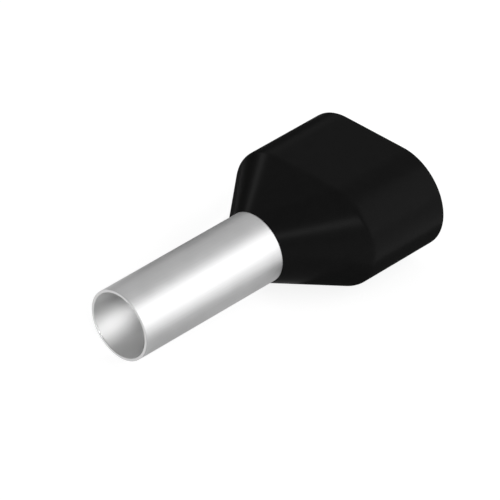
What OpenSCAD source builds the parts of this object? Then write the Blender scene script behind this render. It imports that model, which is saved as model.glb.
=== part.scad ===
// Twin-entry wire-end ferrule: a thin tinned copper crimp sleeve held in a moulded
// insulating collar that is wide enough for two insulated wires side by side.
//
// Frame: +X runs along the sleeve's axis from its free tip to the wire entry, +Y across
// the two wires, +Z up from the collar's flat side. The origin is on the axis, at the
// collar's front lip, where the sleeve comes out.

/* [Sleeve] */
// Outside diameter of the sleeve
sleeve_od = 5.3; // [4.6:0.1:6.2]
// Thickness of the sleeve's wall
sleeve_wall = 0.2; // [0.1:0.05:0.4]
// Length of sleeve that stands clear of the collar
sleeve_free = 13.0; // [8:0.5:20]
// Length of straight sleeve held in the collar
sleeve_grip = 2.6; // [2:0.1:3.2]
// Share of the room between the sleeve and the collar's flat side that the flared mouth takes
flare_share = 0.4; // [0.3:0.05:0.5]
// Angle at which the flare ends, from the axis
flare_angle = 50; // [35:5:60]
// Chamfer that breaks both edges of the cut tip
tip_break = 0.04; // [0.02:0.01:0.05]

/* [Collar] */
// Width of the collar across the two wires
collar_w = 13.3; // [11:0.1:16]
// Height of the collar over its flat sides
collar_h = 7.8; // [6.8:0.1:9.5]
// Length of the taper from the sleeve to the full section
taper_len = 4.85; // [4:0.05:6]
// Length of the full section, up to the wire entry
body_len = 7.05; // [4:0.05:12]
// Wall round the wires
collar_wall = 0.7; // [0.5:0.05:0.9]
// Thickness of the lip that the sleeve comes out of
lip_wall = 0.05; // [0.05:0.05:0.4]
// Length of the funnel from the sleeve's mouth to the wire socket
funnel_len = 2.0; // [1.5:0.1:3]
// Room round the rim of the flare
rim_gap = 0.05; // [0.02:0.01:0.1]
// Lead-in chamfer inside the wire entry
entry_lead = 0.3; // [0.1:0.05:0.35]
// Chamfer round the outside of the wire entry
entry_break = 0.1; // [0.05:0.05:0.15]

/* [Hidden] */

// Sides of a full circle, on turned faces and in the lofts
$fn = 48;
// Steps along the flare's curve
flare_steps = 8;
// Thickness of the discs that a loft is drawn between
plate = 0.01;
// Overrun of a cut past the face that it opens
overrun = 0.5;

sleeve_r = sleeve_od / 2;
bore_r = sleeve_r - sleeve_wall;
mid_r = sleeve_r - sleeve_wall / 2;
lip_r = sleeve_r + lip_wall;
collar_r = collar_h / 2;
socket_r = collar_r - collar_wall;
collar_len = taper_len + body_len;

// Distance between the middles of the collar's two half rounds
wire_spread = collar_w - collar_h;

// How far the middle of the sleeve's wall swings out at the flare, and the arc that it follows
flare_rise = flare_share * (collar_r - sleeve_r);
flare_bend_r = flare_rise / (1 - cos(flare_angle));

// Point on the flare at a share of its turn, off the middle of the wall: [radius, x].
function flare_point(share, off) =
    let (turn = flare_angle * share)
    [mid_r + flare_bend_r * (1 - cos(turn)) + off * cos(turn),
     sleeve_grip + flare_bend_r * sin(turn) - off * sin(turn)];

// One face of the flare, from the straight sleeve to the rim.
function flare_face(off) = [for (i = [0:flare_steps]) flare_point(i / flare_steps, off)];

function reversed(points) = [for (i = [len(points) - 1:-1:0]) points[i]];

// Outline of [radius, x] points closed to the axis at both ends.
function to_axis(outline) =
    concat([[0, outline[0][1]]], outline, [[0, outline[len(outline) - 1][1]]]);

flare_outside = flare_face(sleeve_wall / 2);
flare_inside = flare_face(-sleeve_wall / 2);
rim_r = flare_outside[flare_steps][0];
funnel_start = flare_outside[flare_steps][1];
funnel_end = funnel_start + funnel_len;

// Turns a closed drawing of [radius, x] points round the X axis.
module turned(points) {
    rotate([0, 90, 0])
        rotate_extrude()
            polygon(points);
}

// Flat oval bar: an outline of [half height, x] points, turned about the middle of each
// half round and drawn straight across between them.
module oval_bar(outline) {
    for (side = [-1, 1])
        translate([0, side * wire_spread / 2, 0])
            turned(to_axis(outline));
    rotate([90, 0, 0])
        linear_extrude(wire_spread, center = true)
            polygon(concat(
                [for (p = outline) [p[1], p[0]]],
                [for (p = reversed(outline)) [p[1], -p[0]]]));
}

// Thin disc across the X axis, from x on.
module disc(x, r) {
    turned(to_axis([[r, x], [r, x + plate]]));
}

// Loft from a round on the axis to the flat oval. Its last discs stand in the oval bar that
// follows it.
module oval_loft(x_round, r_round, x_oval, r_oval) {
    hull() {
        disc(x_round, r_round);
        for (side = [-1, 1])
            translate([0, side * wire_spread / 2, 0])
                disc(x_oval, r_oval);
    }
}

module crimp_sleeve() {
    color("gainsboro")
        turned(concat(
            [[bore_r, tip_break - sleeve_free],
             [bore_r + tip_break, -sleeve_free],
             [sleeve_r - tip_break, -sleeve_free],
             [sleeve_r, tip_break - sleeve_free]],
            flare_outside,
            reversed(flare_inside)));
}

// Outside of the collar: the taper from its lip, and the oval body.
module collar_form() {
    oval_loft(0, lip_r, taper_len, collar_r);
    oval_bar([
        [collar_r, taper_len],
        [collar_r, collar_len - entry_break],
        [collar_r - entry_break, collar_len]]);
}

// Socket for the two insulated wires, with its lead-in.
module wire_socket() {
    oval_bar([
        [socket_r, funnel_end],
        [socket_r, collar_len - entry_lead],
        [socket_r + entry_lead + overrun, collar_len + overrun]]);
}

// Funnel that leads the bare strands from the socket into the sleeve's mouth.
module strand_funnel() {
    oval_loft(funnel_start, rim_r + rim_gap, funnel_end, socket_r);
}

// Bore that grips the sleeve and seats the back of its flare.
module sleeve_seat() {
    turned(to_axis(concat(
        [[sleeve_r, -overrun]],
        flare_outside,
        [[rim_r, funnel_start + plate]])));
}

module insulating_collar() {
    color([0.09, 0.09, 0.09])
        difference() {
            collar_form();
            wire_socket();
            strand_funnel();
            sleeve_seat();
        }
}

crimp_sleeve();
insulating_collar();
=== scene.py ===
"""Twin-entry wire-end ferrule, dressed for its portrait.

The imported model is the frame: its boxes give the places, and every piece here takes the place of
the node that it is named after. Lengths are in metres. +X runs along the sleeve's axis from its
cut tip to the wire entry, +Y across the pair of wires and +Z up from the collar's flat side.
Azimuths turn from -Y towards +X.
"""

import logging
import math
from abc import ABC, abstractmethod
from collections.abc import Callable, Sequence
from dataclasses import dataclass, field
from enum import Enum
from typing import Any

import bmesh
import bpy
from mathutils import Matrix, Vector


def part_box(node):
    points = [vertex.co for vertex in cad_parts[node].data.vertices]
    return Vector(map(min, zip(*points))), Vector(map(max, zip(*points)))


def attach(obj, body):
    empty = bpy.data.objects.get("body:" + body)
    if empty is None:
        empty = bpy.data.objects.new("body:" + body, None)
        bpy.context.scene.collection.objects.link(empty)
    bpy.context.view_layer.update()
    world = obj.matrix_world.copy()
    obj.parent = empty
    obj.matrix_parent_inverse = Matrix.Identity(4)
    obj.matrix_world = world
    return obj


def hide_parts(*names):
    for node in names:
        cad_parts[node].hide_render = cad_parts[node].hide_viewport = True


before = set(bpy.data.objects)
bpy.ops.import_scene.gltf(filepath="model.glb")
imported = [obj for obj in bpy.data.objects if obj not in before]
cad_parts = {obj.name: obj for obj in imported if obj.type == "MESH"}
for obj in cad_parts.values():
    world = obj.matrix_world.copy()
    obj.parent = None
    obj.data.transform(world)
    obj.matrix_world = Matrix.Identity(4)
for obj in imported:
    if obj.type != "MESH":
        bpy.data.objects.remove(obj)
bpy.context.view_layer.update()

log = logging.getLogger("ferrule")

Color = tuple[float, float, float, float]

MM = 0.001
ROOT_BODY = "root"
WELD_DISTANCE = 0.0001 * MM
NOISE_MIDDLE = 0.5


class Slot(Enum):
    """The record's material slots."""

    TIN = "tinned_copper"
    PLASTIC = "black_plastic"


class Ray(Enum):
    """The kinds of ray that show the background, by the name of their Light Path output."""

    CAMERA = "Is Camera Ray"
    GLOSSY = "Is Glossy Ray"
    TRANSMISSION = "Is Transmission Ray"


class Channel:
    """A shader socket that can be used in Python arithmetic; each operator adds a Math node."""

    def __init__(self, graph: "Graph", socket: bpy.types.NodeSocket) -> None:
        """Wrap a socket.

        Args:
            graph: The node graph that the socket belongs to.
            socket: The output socket that holds the value.
        """
        self.graph = graph
        self.socket = socket

    def _math(
        self, operation: str, first: "Channel | float", second: "Channel | float",
    ) -> "Channel":
        """Add one Math node.

        Args:
            operation: Blender's name of the operation.
            first: A channel or a number.
            second: A channel or a number.

        Returns:
            The node's result.
        """
        node = self.graph.add("ShaderNodeMath", {"operation": operation}, {0: first, 1: second})
        return Channel(self.graph, node.outputs[0])

    def __add__(self, other: "Channel | float") -> "Channel":
        """Return self + other."""
        return self._math("ADD", self, other)

    def __radd__(self, other: float) -> "Channel":
        """Return other + self."""
        return self._math("ADD", other, self)

    def __sub__(self, other: "Channel | float") -> "Channel":
        """Return self - other."""
        return self._math("SUBTRACT", self, other)

    def __rsub__(self, other: float) -> "Channel":
        """Return other - self."""
        return self._math("SUBTRACT", other, self)

    def __mul__(self, other: "Channel | float") -> "Channel":
        """Return self * other."""
        return self._math("MULTIPLY", self, other)

    def __rmul__(self, other: float) -> "Channel":
        """Return other * self."""
        return self._math("MULTIPLY", other, self)

    def at_least(self, other: "Channel | float") -> "Channel":
        """Return the larger of self and other."""
        return self._math("MAXIMUM", self, other)

    def below(self, limit: float) -> "Channel":
        """Return 1 where self is below the limit, and 0 elsewhere."""
        return self._math("LESS_THAN", self, limit)


class Graph:
    """A node tree with one way to add a node.

    A Mix node has sockets of the same names for numbers, vectors and colours, so those for
    colours are found by number.
    """

    MIX_FIRST_COLOR = 6
    MIX_SECOND_COLOR = 7
    MIX_COLOR = 2

    def __init__(self, tree: bpy.types.NodeTree) -> None:
        """Start an empty graph.

        Args:
            tree: The node tree, whose nodes are removed.
        """
        self.tree = tree
        tree.nodes.clear()

    def add(
        self,
        kind: str,
        settings: dict[str, Any] | None = None,
        inputs: dict[str | int, Any] | None = None,
    ) -> bpy.types.Node:
        """Add a node, set it up and fill its sockets.

        Args:
            kind: The node's type.
            settings: The node's own properties, set before its sockets.
            inputs: A socket's name or number to a value, a channel or an output socket.

        Returns:
            The node.
        """
        node = self.tree.nodes.new(kind)
        for name, value in (settings or {}).items():
            setattr(node, name, value)
        for key, value in (inputs or {}).items():
            socket = node.inputs[key]
            if isinstance(value, Channel):
                self.tree.links.new(value.socket, socket)
            elif isinstance(value, bpy.types.NodeSocket):
                self.tree.links.new(value, socket)
            else:
                socket.default_value = value
        return node

    def position(self) -> bpy.types.NodeSocket:
        """Return the shaded point on the object, in metres."""
        return self.add("ShaderNodeTexCoord").outputs["Object"]

    def along(self) -> Channel:
        """Return how far along the axis the shaded point lies."""
        node = self.add("ShaderNodeSeparateXYZ", None, {0: self.position()})
        return Channel(self, node.outputs[0])

    def stretched(self, vector: bpy.types.NodeSocket, by: Sequence[float]) -> bpy.types.NodeSocket:
        """Multiply a vector part by part.

        Args:
            vector: The vector's socket.
            by: One factor for each of X, Y and Z.

        Returns:
            The stretched vector's socket.
        """
        node = self.add("ShaderNodeVectorMath", {"operation": "MULTIPLY"}, {0: vector, 1: by})
        return node.outputs[0]

    def reach(self, vector: bpy.types.NodeSocket) -> Channel:
        """Return a vector's length."""
        node = self.add("ShaderNodeVectorMath", {"operation": "LENGTH"}, {0: vector})
        return Channel(self, node.outputs["Value"])

    def ray(self, kind: Ray) -> Channel:
        """Return 1 on rays of one kind, and 0 on the others."""
        return Channel(self, self.add("ShaderNodeLightPath").outputs[kind.value])

    def noise(self, vector: bpy.types.NodeSocket, size: float, detail: float) -> Channel:
        """Add a noise texture.

        Args:
            vector: The texture's coordinates, in metres.
            size: The size of its patches, in metres.
            detail: How many finer layers it holds.

        Returns:
            The noise's value, NOISE_MIDDLE on average.
        """
        node = self.add(
            "ShaderNodeTexNoise",
            {"noise_dimensions": "3D"},
            {"Vector": vector, "Scale": 1.0 / size, "Detail": detail})
        return Channel(self, node.outputs[0])

    def tint(
        self,
        share: Channel,
        low: Color | bpy.types.NodeSocket,
        high: Color | bpy.types.NodeSocket,
    ) -> bpy.types.NodeSocket:
        """Mix two colours.

        Args:
            share: How much of the second colour, from 0 to 1.
            low: The colour at share 0.
            high: The colour at share 1.

        Returns:
            The mixed colour's socket.
        """
        node = self.add(
            "ShaderNodeMix",
            {"data_type": "RGBA"},
            {"Factor": share, self.MIX_FIRST_COLOR: low, self.MIX_SECOND_COLOR: high})
        return node.outputs[self.MIX_COLOR]

    def bump(self, height: Channel, depth: float, strength: float) -> bpy.types.NodeSocket:
        """Turn a height into a normal.

        Args:
            height: The height, from 0 to 1.
            depth: How deep a height of 1 is, in metres.
            strength: The share of the bump that shows.

        Returns:
            The normal's socket.
        """
        node = self.add(
            "ShaderNodeBump", None, {"Height": height, "Distance": depth, "Strength": strength})
        return node.outputs[0]


def grey(level: float) -> Color:
    """Return a neutral colour of a given level."""
    return (level, level, level, 1.0)


def shaded(name: str, surface: Callable[[Graph], bpy.types.Node]) -> bpy.types.Material:
    """Make a material.

    Args:
        name: The material's name.
        surface: Builds the material's shader in a graph, and returns its node.

    Returns:
        The material.
    """
    made = bpy.data.materials.new(name)
    made.use_nodes = True
    graph = Graph(made.node_tree)
    shader = surface(graph)
    graph.add("ShaderNodeOutputMaterial", None, {"Surface": shader.outputs[0]})
    return made


def added(name: str, data: bpy.types.ID) -> bpy.types.Object:
    """Put something into the scene.

    Args:
        name: The new object's name.
        data: The mesh, lamp or camera that it holds.

    Returns:
        The object.
    """
    made = bpy.data.objects.new(name, data)
    bpy.context.scene.collection.objects.link(made)
    return made


def aimed(made: bpy.types.Object, target: Vector, away: Vector, distance: float) -> None:
    """Move a lamp or a camera to face a place.

    Args:
        made: The lamp or the camera, which looks along its own -Z.
        target: The place that it faces.
        away: The direction from that place to it, of length 1.
        distance: Its distance from that place.
    """
    made.location = target + away * distance
    made.rotation_mode = "QUATERNION"
    made.rotation_quaternion = (-away).to_track_quat("-Z", "Y")


def direction(azimuth: float, elevation: float) -> Vector:
    """Work out a direction.

    Args:
        azimuth: Its angle about Z, in degrees from -Y towards +X.
        elevation: Its angle above level, in degrees.

    Returns:
        The direction, of length 1.
    """
    turn, lift = math.radians(azimuth), math.radians(elevation)
    flat = math.cos(lift)
    return Vector((math.sin(turn) * flat, -math.cos(turn) * flat, math.sin(lift)))


class Finish(ABC):
    """A surface finish that can dress a piece."""

    slot: Slot

    @abstractmethod
    def surface(self, graph: Graph) -> bpy.types.Node:
        """Build the finish's shader.

        Args:
            graph: The material's graph.

        Returns:
            The shader node.
        """

    def material(self) -> bpy.types.Material:
        """Return a material with this finish."""
        return shaded(self.slot.value, self.surface)


@dataclass(frozen=True)
class TinPlate(Finish):
    """Satin tin over drawn copper, with draw lines along the tube and soft clouds.

    The bore, within its radius of the axis, is darker, rougher and less metallic. The cut tip, up
    to its end along the axis, is darker and sheared smooth.
    """

    slot: Slot = Slot.TIN
    dull: Color = (0.66, 0.66, 0.663, 1.0)
    bright: Color = (0.785, 0.785, 0.787, 1.0)
    cloud_size: float = 1.4 * MM
    cloud_detail: float = 2.0
    cloud_share: float = 0.5
    line_width: float = 0.07 * MM
    line_detail: float = 1.0
    line_stretch: float = 0.02
    line_depth: float = 0.005 * MM
    line_strength: float = 0.6
    roughness: float = 0.48
    roughness_swing: float = 0.08
    bore_radius: float = 2.5 * MM
    bore_color: Color = grey(0.57)
    bore_roughness: float = 0.5
    bore_metallic: float = 0.3
    tip_end: float = -12.96 * MM
    tip_roughness: float = 0.36
    tip_color: Color = grey(0.58)

    def surface(self, graph: Graph) -> bpy.types.Node:
        """Build the tin's shader.

        Args:
            graph: The material's graph.

        Returns:
            The shader node.
        """
        position = graph.position()
        clouds = graph.noise(position, self.cloud_size, self.cloud_detail)
        drawn = graph.stretched(position, (self.line_stretch, 1.0, 1.0))
        lines = graph.noise(drawn, self.line_width, self.line_detail)
        streaked = clouds * self.cloud_share + lines * (1.0 - self.cloud_share)
        plate = graph.tint(streaked, self.dull, self.bright)
        tip = graph.along().below(self.tip_end)
        off_axis = graph.reach(graph.stretched(position, (0.0, 1.0, 1.0)))
        inside = off_axis.below(self.bore_radius)
        bore = inside * (1.0 - tip)
        swing = (clouds + lines - 2 * NOISE_MIDDLE) * self.roughness_swing
        rougher = bore * (self.bore_roughness - self.roughness)
        smoother = tip * (self.tip_roughness - self.roughness)
        return graph.add("ShaderNodeBsdfPrincipled", None, {
            "Base Color": graph.tint(bore, graph.tint(tip, plate, self.tip_color), self.bore_color),
            "Metallic": 1.0 - bore * (1.0 - self.bore_metallic),
            "Roughness": swing + self.roughness + rougher + smoother,
            "Normal": graph.bump(lines, self.line_depth, self.line_strength)})


@dataclass(frozen=True)
class MouldedPlastic(Finish):
    """Satin black polypropylene with the fine grain of an eroded mould."""

    slot: Slot = Slot.PLASTIC
    dark: Color = grey(0.0048)
    light: Color = grey(0.008)
    patch_size: float = 0.8 * MM
    patch_detail: float = 2.0
    patch_share: float = 0.5
    grain_size: float = 0.06 * MM
    grain_detail: float = 3.0
    grain_depth: float = 0.005 * MM
    grain_strength: float = 0.4
    specular: float = 0.025
    roughness: float = 0.3
    roughness_swing: float = 0.06

    def surface(self, graph: Graph) -> bpy.types.Node:
        """Build the plastic's shader.

        Args:
            graph: The material's graph.

        Returns:
            The shader node.
        """
        position = graph.position()
        patches = graph.noise(position, self.patch_size, self.patch_detail)
        grain = graph.noise(position, self.grain_size, self.grain_detail)
        mottled = patches * self.patch_share + grain * (1.0 - self.patch_share)
        return graph.add("ShaderNodeBsdfPrincipled", None, {
            "Base Color": graph.tint(mottled, self.dark, self.light),
            "Specular IOR Level": self.specular,
            "Roughness": (patches - NOISE_MIDDLE) * self.roughness_swing + self.roughness,
            "Normal": graph.bump(grain, self.grain_depth, self.grain_strength)})


@dataclass(frozen=True)
class Corner:
    """A corner of a section's path: a flat oval across X, and how far its rounding reaches."""

    x: float
    radius: float
    spread: float = 0.0
    reach: float = 0.0

    def point(self) -> Vector:
        """Return the corner as a point of the path's own space."""
        return Vector((self.x, self.radius, self.spread))


@dataclass(frozen=True)
class OvalSkin:
    """Draws a closed skin through flat ovals that follow a closed path of corners.

    A support station stands on each side of a rounding, at so many times its reach.
    """

    arc_steps: int
    flat_steps: int
    round_steps: int = 6
    support: float = 2.0

    def rounded(self, corners: Sequence[Corner]) -> list[Vector]:
        """Round a closed path's corners, with a support station on each side of a rounding.

        Args:
            corners: The path's corners in order.

        Returns:
            The stations (x, radius, spread) along the path.
        """
        stations: list[Vector] = []
        count = len(corners)
        for i, corner in enumerate(corners):
            here = corner.point()
            if corner.reach == 0.0:
                stations.append(here)
                continue
            back = (corners[i - 1].point() - here).normalized() * corner.reach
            ahead = (corners[(i + 1) % count].point() - here).normalized() * corner.reach
            stations.append(here + back * self.support)
            for step in range(self.round_steps + 1):
                t = step / self.round_steps
                stations.append(here + back * (1 - t) ** 2 + ahead * t ** 2)
            stations.append(here + ahead * self.support)
        return stations

    def ring(self, station: Vector) -> list[Vector]:
        """Draw one station's flat oval.

        Args:
            station: The oval's place along X, the radius of its half rounds and how far their
                middles lie from the axis.

        Returns:
            The points round it.
        """
        x, radius, spread = station
        ring: list[Vector] = []
        for side in (1, -1):
            for step in range(self.arc_steps + 1):
                turn = math.pi * (step / self.arc_steps - 0.5)
                ring.append(Vector((
                    x, side * (spread + radius * math.cos(turn)), side * radius * math.sin(turn))))
            for step in range(1, self.flat_steps):
                share = 1 - 2 * step / self.flat_steps
                ring.append(Vector((x, side * spread * share, side * radius)))
        return ring

    def build(self, name: str, corners: Sequence[Corner]) -> bpy.types.Object:
        """Build the skin as a new smooth-shaded object.

        Args:
            name: The piece's name.
            corners: The closed path's corners in order.

        Returns:
            The object, at the origin.
        """
        rings = [self.ring(station) for station in self.rounded(corners)]
        shape = bmesh.new()
        grid = [[shape.verts.new(point) for point in ring] for ring in rings]
        for i, ring in enumerate(grid):
            before = grid[i - 1]
            for j, vert in enumerate(ring):
                shape.faces.new((before[j - 1], before[j], vert, ring[j - 1]))
        bmesh.ops.remove_doubles(shape, verts=shape.verts[:], dist=WELD_DISTANCE)
        bmesh.ops.recalc_face_normals(shape, faces=shape.faces[:])
        mesh = bpy.data.meshes.new(name)
        shape.to_mesh(mesh)
        shape.free()
        mesh.shade_smooth()
        return added(name, mesh)


class Piece(ABC):
    """A piece that takes the place of one node of the frame."""

    node: str
    finish: Finish

    @abstractmethod
    def shape(self) -> bpy.types.Object:
        """Return the piece's new object."""

    def place(self) -> bpy.types.Object:
        """Build the piece, dress it and let it stand for its node.

        Returns:
            The piece's object.
        """
        made = self.shape()
        made.data.materials.append(self.finish.material())
        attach(made, ROOT_BODY)
        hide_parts(self.node)
        log.info("%s stands for %s: %d faces", made.name, self.node, len(made.data.polygons))
        return made


@dataclass
class Flare:
    """The flared mouth of the sleeve: its wall's middle follows an arc away from the tube."""

    middle: float
    wall: float
    start: float
    rim: float
    angle: float = math.radians(50)
    steps: int = 24

    def bend(self) -> float:
        """Return the arc's radius, from how far the outer corner of the rim stands out."""
        rise = self.rim - self.middle - self.wall / 2 * math.cos(self.angle)
        return rise / (1 - math.cos(self.angle))

    def at(self, share: float, off: float) -> Corner:
        """Work out a point on the flare.

        Args:
            share: The share of the flare's turn.
            off: The distance off the middle of the wall.

        Returns:
            The point, as a corner of the path.
        """
        turn = self.angle * share
        bend = self.bend()
        return Corner(
            self.start + bend * math.sin(turn) - off * math.sin(turn),
            self.middle + bend * (1 - math.cos(turn)) + off * math.cos(turn))

    def face(self, off: float) -> list[Corner]:
        """Return one face of the flare, from the straight tube to the rim."""
        return [self.at(step / self.steps, off) for step in range(self.steps + 1)]


@dataclass
class CrimpSleeve(Piece):
    """The tinned copper tube, from its cut tip to the flared mouth inside the collar."""

    node: str = "crimp_sleeve"
    finish: Finish = field(default_factory=TinPlate)
    radius: float = 2.65 * MM
    wall: float = 0.2 * MM
    grip: float = 2.6 * MM
    tip_rounding: float = 0.008 * MM
    rim_rounding: float = 0.03 * MM
    skin: OvalSkin = OvalSkin(arc_steps=128, flat_steps=0)

    def flare(self) -> Flare:
        """Return the flared mouth, as wide as the frame's sleeve."""
        _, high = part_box(self.node)
        return Flare(self.radius - self.wall / 2, self.wall, self.grip, high.z)

    def shape(self) -> bpy.types.Object:
        """Build the tube, turned about the axis.

        Returns:
            The tube's object.
        """
        low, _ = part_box(self.node)
        flare = self.flare()
        outside = flare.face(self.wall / 2)
        inside = flare.face(-self.wall / 2)
        rims = [Corner(end.x, end.radius, reach=self.rim_rounding)
                for end in (outside.pop(), inside.pop())]
        path = [
            Corner(low.x, self.radius - self.wall, reach=self.tip_rounding),
            Corner(low.x, self.radius, reach=self.tip_rounding),
            *outside, *rims, *reversed(inside)]
        return self.skin.build("sleeve_tube", path)


@dataclass
class InsulatingCollar(Piece):
    """The moulded collar: round lip, taper, flat-oval body, and the way in for the wires."""

    node: str = "insulating_collar"
    finish: Finish = field(default_factory=MouldedPlastic)
    sleeve: CrimpSleeve = field(default_factory=CrimpSleeve)
    lip_wall: float = 0.05 * MM
    taper: float = 4.85 * MM
    wall: float = 0.7 * MM
    lead_in: float = 0.3 * MM
    funnel: float = 2.0 * MM
    rim_gap: float = 0.05 * MM
    seat_gap: float = 0.004 * MM
    lip_rounding: float = 0.01 * MM
    taper_rounding: float = 0.25 * MM
    entry_rounding: float = 0.1 * MM
    lead_in_rounding: float = 0.08 * MM
    floor_rounding: float = 0.2 * MM
    skin: OvalSkin = OvalSkin(arc_steps=80, flat_steps=12)

    def shape(self) -> bpy.types.Object:
        """Build the collar's shell: its outside, then back in through the wire entry.

        Returns:
            The shell's object.
        """
        _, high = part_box(self.node)
        height, end = high.z, high.x
        spread = high.y - high.z
        socket = height - self.wall
        flare = self.sleeve.flare()
        seat = [Corner(c.x, c.radius + self.seat_gap)
                for c in flare.face(self.sleeve.wall / 2)]
        rim = seat[-1]
        bore = self.sleeve.radius + self.seat_gap
        path = [
            Corner(0.0, self.sleeve.radius + self.lip_wall, 0.0, self.lip_rounding),
            Corner(self.taper, height, spread, self.taper_rounding),
            Corner(end, height, spread, self.entry_rounding),
            Corner(end, socket + self.lead_in, spread, self.lead_in_rounding),
            Corner(end - self.lead_in, socket, spread, self.lead_in_rounding),
            Corner(rim.x + self.funnel, socket, spread, self.floor_rounding),
            Corner(rim.x, rim.radius + self.rim_gap),
            *reversed(seat),
            Corner(0.0, bore, 0.0, self.lip_rounding)]
        return self.skin.build("collar_shell", path)


@dataclass
class Portrait:
    """The photograph's camera, aimed a little aside of the origin and above it.

    Its lens and sensor are in millimetres, as cameras have them.
    """

    azimuth: float = -45.3
    elevation: float = 34.8
    distance: float = 337.39 * MM
    aside: float = -0.354 * MM
    above: float = -0.195 * MM
    lens: float = 353.64
    sensor: float = 36.0
    nearest_share: float = 0.1
    farthest_share: float = 100.0

    def place(self) -> bpy.types.Object:
        """Place the camera and make it the scene's.

        Returns:
            The camera's object.
        """
        back = direction(self.azimuth, self.elevation)
        right = Vector((0, 0, 1)).cross(back).normalized()
        up = back.cross(right)
        data = bpy.data.cameras.new("portrait_camera")
        data.lens = self.lens
        data.sensor_width = self.sensor
        data.clip_start = self.distance * self.nearest_share
        data.clip_end = self.distance * self.farthest_share
        made = added("portrait_camera", data)
        aimed(made, right * self.aside + up * self.above, back, self.distance)
        bpy.context.scene.camera = made
        return made


@dataclass(frozen=True)
class RestPlane:
    """The plane that the ferrule lies on, nose down: on its tip and its flat side's front edge."""

    tip: Vector
    edge: Vector

    def at(self, x: float, y: float) -> Vector:
        """Return the plane's point at a place along and across the axis."""
        share = (x - self.tip.x) / (self.edge.x - self.tip.x)
        return self.tip + (self.edge - self.tip) * share + Vector((0, y, 0))


def staged(
    name: str, corners: Sequence[Vector], surface: Callable[[Graph], bpy.types.Node],
) -> bpy.types.Object:
    """Make a flat sheet for the studio.

    Args:
        name: The name of the object and of its material.
        corners: Its corners in order.
        surface: Builds its shader in a graph, and returns the shader's node.

    Returns:
        The object.
    """
    mesh = bpy.data.meshes.new(name)
    mesh.from_pydata(corners, [], [range(len(corners))])
    mesh.materials.append(shaded(name, surface))
    made = added(name, mesh)
    return made


@dataclass(frozen=True)
class WhiteFloor:
    """The white sweep under the ferrule, which keeps its shadow.

    It glows at one level where it shows as the background and at another where it lights the
    ferrule. Its shade is the diffuse colour that the lamps light and the shadow darkens.
    """

    half_size: float = 2.0
    white: float = 0.85
    bounce: float = 0.7
    shade: float = 0.25

    def surface(self, graph: Graph) -> bpy.types.Node:
        """Build the floor's shader: a pale diffuse sheet with a glow.

        Args:
            graph: The material's graph.

        Returns:
            The shader node.
        """
        backdrop = graph.ray(Ray.CAMERA).at_least(graph.ray(Ray.GLOSSY)).at_least(
            graph.ray(Ray.TRANSMISSION))
        lit = graph.add("ShaderNodeBsdfDiffuse", None, {"Color": grey(self.shade)})
        glow = graph.add("ShaderNodeEmission", None, {
            "Color": grey(1.0),
            "Strength": backdrop * (self.white - self.bounce) + self.bounce})
        return graph.add("ShaderNodeAddShader", None, {0: lit.outputs[0], 1: glow.outputs[0]})

    def place(self, plane: RestPlane) -> None:
        """Lay the floor.

        Args:
            plane: The plane that the ferrule lies on.
        """
        far = self.half_size
        corners = [plane.at(x, y) for x, y in ((-far, -far), (far, -far), (far, far), (-far, far))]
        staged("white_floor", corners, self.surface)


@dataclass(frozen=True)
class ShadeCard:
    """A dark card that only reflections see, so that the ferrule's edges don't wash out. Those
    lying on the floor are painted shadow: they put the shade under the ferrule into reflections,
    which the evenly glowing floor lacks. The standing one is a dark flag.

    It runs along the axis from its start, at a place to the side. It lies on the floor over its
    depth, or stands up over its height. Its start can melt into the white of the floor, so that its
    painted shadow fades out there.
    """

    name: str
    start: float
    length: float
    side: float
    depth: float = 0.0
    height: float = 0.0
    level: float = 0.04
    melt: float = 0.0
    melted_level: float = 1.0
    lift: float = 0.02 * MM

    def surface(self, graph: Graph) -> bpy.types.Node:
        """Build the card's shader.

        Args:
            graph: The material's graph.

        Returns:
            The shader node.
        """
        strength: Channel | float = self.level
        # Painted shadow's soft edge: over the melt, the card's glow rises to the floor's white
        # towards its start.
        if self.melt > 0.0:
            whiter = ((self.start + self.melt - graph.along()) * (1.0 / self.melt)).at_least(0.0)
            strength = whiter * (self.melted_level - self.level) + self.level
        return graph.add("ShaderNodeEmission", None, {"Color": grey(1.0), "Strength": strength})

    def place(self, plane: RestPlane) -> None:
        """Set the card up.

        Args:
            plane: The plane that the ferrule lies on.
        """
        raised = Vector((0, 0, self.lift))
        near = plane.at(self.start, self.side) + raised
        far = plane.at(self.start + self.length, self.side) + raised
        over = Vector((0, self.depth, self.height))
        corners = (near, far, far + over, near + over)
        made = staged(self.name, corners, self.surface)
        made.visible_camera = False
        made.visible_diffuse = False
        made.visible_shadow = False


@dataclass(frozen=True)
class SoftBox:
    """A plain soft lamp that faces the ferrule's origin. Its face has the brightness given."""

    name: str
    azimuth: float
    elevation: float
    width: float
    height: float
    brightness: float
    distance: float = 300.0 * MM

    def place(self) -> None:
        """Hang the lamp."""
        data = bpy.data.lights.new(self.name, "AREA")
        data.shape = "RECTANGLE"
        data.size, data.size_y = self.width, self.height
        data.energy = math.pi * self.width * self.height * self.brightness
        made = added(self.name, data)
        aimed(made, Vector(), direction(self.azimuth, self.elevation), self.distance)
        made.visible_camera = False


@dataclass(frozen=True)
class Snoot:
    """A small lamp with a narrow beam, for the inside of the open tip.

    Its beam is an angle in degrees, and its level is how bright it makes a white surface that
    faces it at its distance.
    """

    name: str
    azimuth: float
    elevation: float
    distance: float
    aim: Vector
    beam: float
    radius: float
    level: float
    softness: float = 1.0

    def place(self, tip: Vector) -> None:
        """Hang the lamp.

        Args:
            tip: The middle of the open tip, which the aim is measured from.
        """
        data = bpy.data.lights.new(self.name, "SPOT")
        data.spot_size = math.radians(self.beam)
        data.spot_blend = self.softness
        data.shadow_soft_size = self.radius
        data.energy = (2 * math.pi * self.distance) ** 2 * self.level
        made = added(self.name, data)
        aimed(made, tip + self.aim, direction(self.azimuth, self.elevation), self.distance)
        made.visible_camera = False


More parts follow.
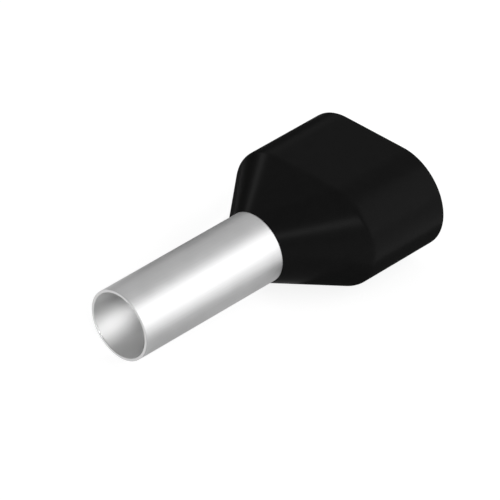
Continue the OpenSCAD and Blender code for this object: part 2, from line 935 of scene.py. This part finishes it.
@dataclass
class Studio:
    """The white floor, the air round the ferrule, the lamps, and the cards: painted shadow on the
    floor and a dark flag.
    """

    ambient: float = 0.52
    floor: WhiteFloor = WhiteFloor()
    soft_boxes: tuple[SoftBox, ...] = (
        SoftBox("side_softbox", azimuth=42.0, elevation=27.0,
                width=340 * MM, height=290 * MM, brightness=1.6),
        SoftBox("front_softbox", azimuth=-38.0, elevation=34.0,
                width=55 * MM, height=55 * MM, brightness=17.0),
        SoftBox("back_softbox", azimuth=168.0, elevation=24.0,
                width=50 * MM, height=70 * MM, brightness=3.0),
    )
    snoots: tuple[Snoot, ...] = (
        Snoot("bore_streak", azimuth=-73.0, elevation=9.0, distance=110 * MM,
              aim=Vector((0.95, 1.89, -1.44)) * MM, beam=1.3, radius=0.7 * MM, level=5.4),
        Snoot("bore_fill", azimuth=-93.0, elevation=18.0, distance=110 * MM,
              aim=Vector((0.0, 0.52, -0.77)) * MM, beam=1.47, radius=0.5 * MM, level=1.5),
    )
    cards: tuple[ShadeCard, ...] = (
        # Painted shadow: the first three cards lie on the floor under the sleeve and the collar and
        # put the shade that falls there into reflections only. The back card is a dark flag.
        ShadeCard("sleeve_near_painted_shadow", start=-12.5 * MM, length=14.5 * MM,
                  side=-10 * MM, depth=10 * MM, level=0.4),
        ShadeCard("sleeve_far_painted_shadow", start=-12.5 * MM, length=14.5 * MM,
                  side=0.0, depth=12 * MM, level=0.3, melt=6 * MM),
        ShadeCard("collar_painted_shadow", start=2 * MM, length=24 * MM, side=-9 * MM, depth=33 * MM),
        ShadeCard("back_card", start=-2 * MM, length=38 * MM,
                  side=19 * MM, height=11 * MM, lift=2 * MM),
    )

    def place(self, plane: RestPlane) -> None:
        """Build the studio.

        Args:
            plane: The plane that the ferrule lies on.
        """
        self.air()
        for thing in (self.floor, *self.cards):
            thing.place(plane)
        for box in self.soft_boxes:
            box.place()
        for snoot in self.snoots:
            snoot.place(Vector((plane.tip.x, 0, 0)))

    def air(self) -> None:
        """Light the scene a little from all round."""
        world = bpy.data.worlds.new("studio_air")
        bpy.context.scene.world = world
        world.use_nodes = True
        graph = Graph(world.node_tree)
        soft = graph.add(
            "ShaderNodeBackground", None, {"Color": grey(1.0), "Strength": self.ambient})
        graph.add("ShaderNodeOutputWorld", None, {"Surface": soft.outputs[0]})


def resting_plane(sleeve: CrimpSleeve, collar: InsulatingCollar) -> RestPlane:
    """Work out the plane that the ferrule comes to rest on.

    Args:
        sleeve: The sleeve, whose tip touches the plane.
        collar: The collar, whose flat side's front edge touches the plane.

    Returns:
        The plane.
    """
    tip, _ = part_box(sleeve.node)
    body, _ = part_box(collar.node)
    return RestPlane(Vector((tip.x, 0, -sleeve.radius)), Vector((collar.taper, 0, body.z)))


def main() -> None:
    """Build the camera, the ferrule's pieces in order and the studio."""
    logging.basicConfig(level=logging.INFO, format="%(name)s: %(message)s")
    bpy.context.scene.view_settings.view_transform = "Standard"
    Portrait().place()
    sleeve = CrimpSleeve()
    collar = InsulatingCollar(sleeve=sleeve)
    for piece in (sleeve, collar):
        piece.place()
    Studio().place(resting_plane(sleeve, collar))


if __name__ == "__main__":
    main()
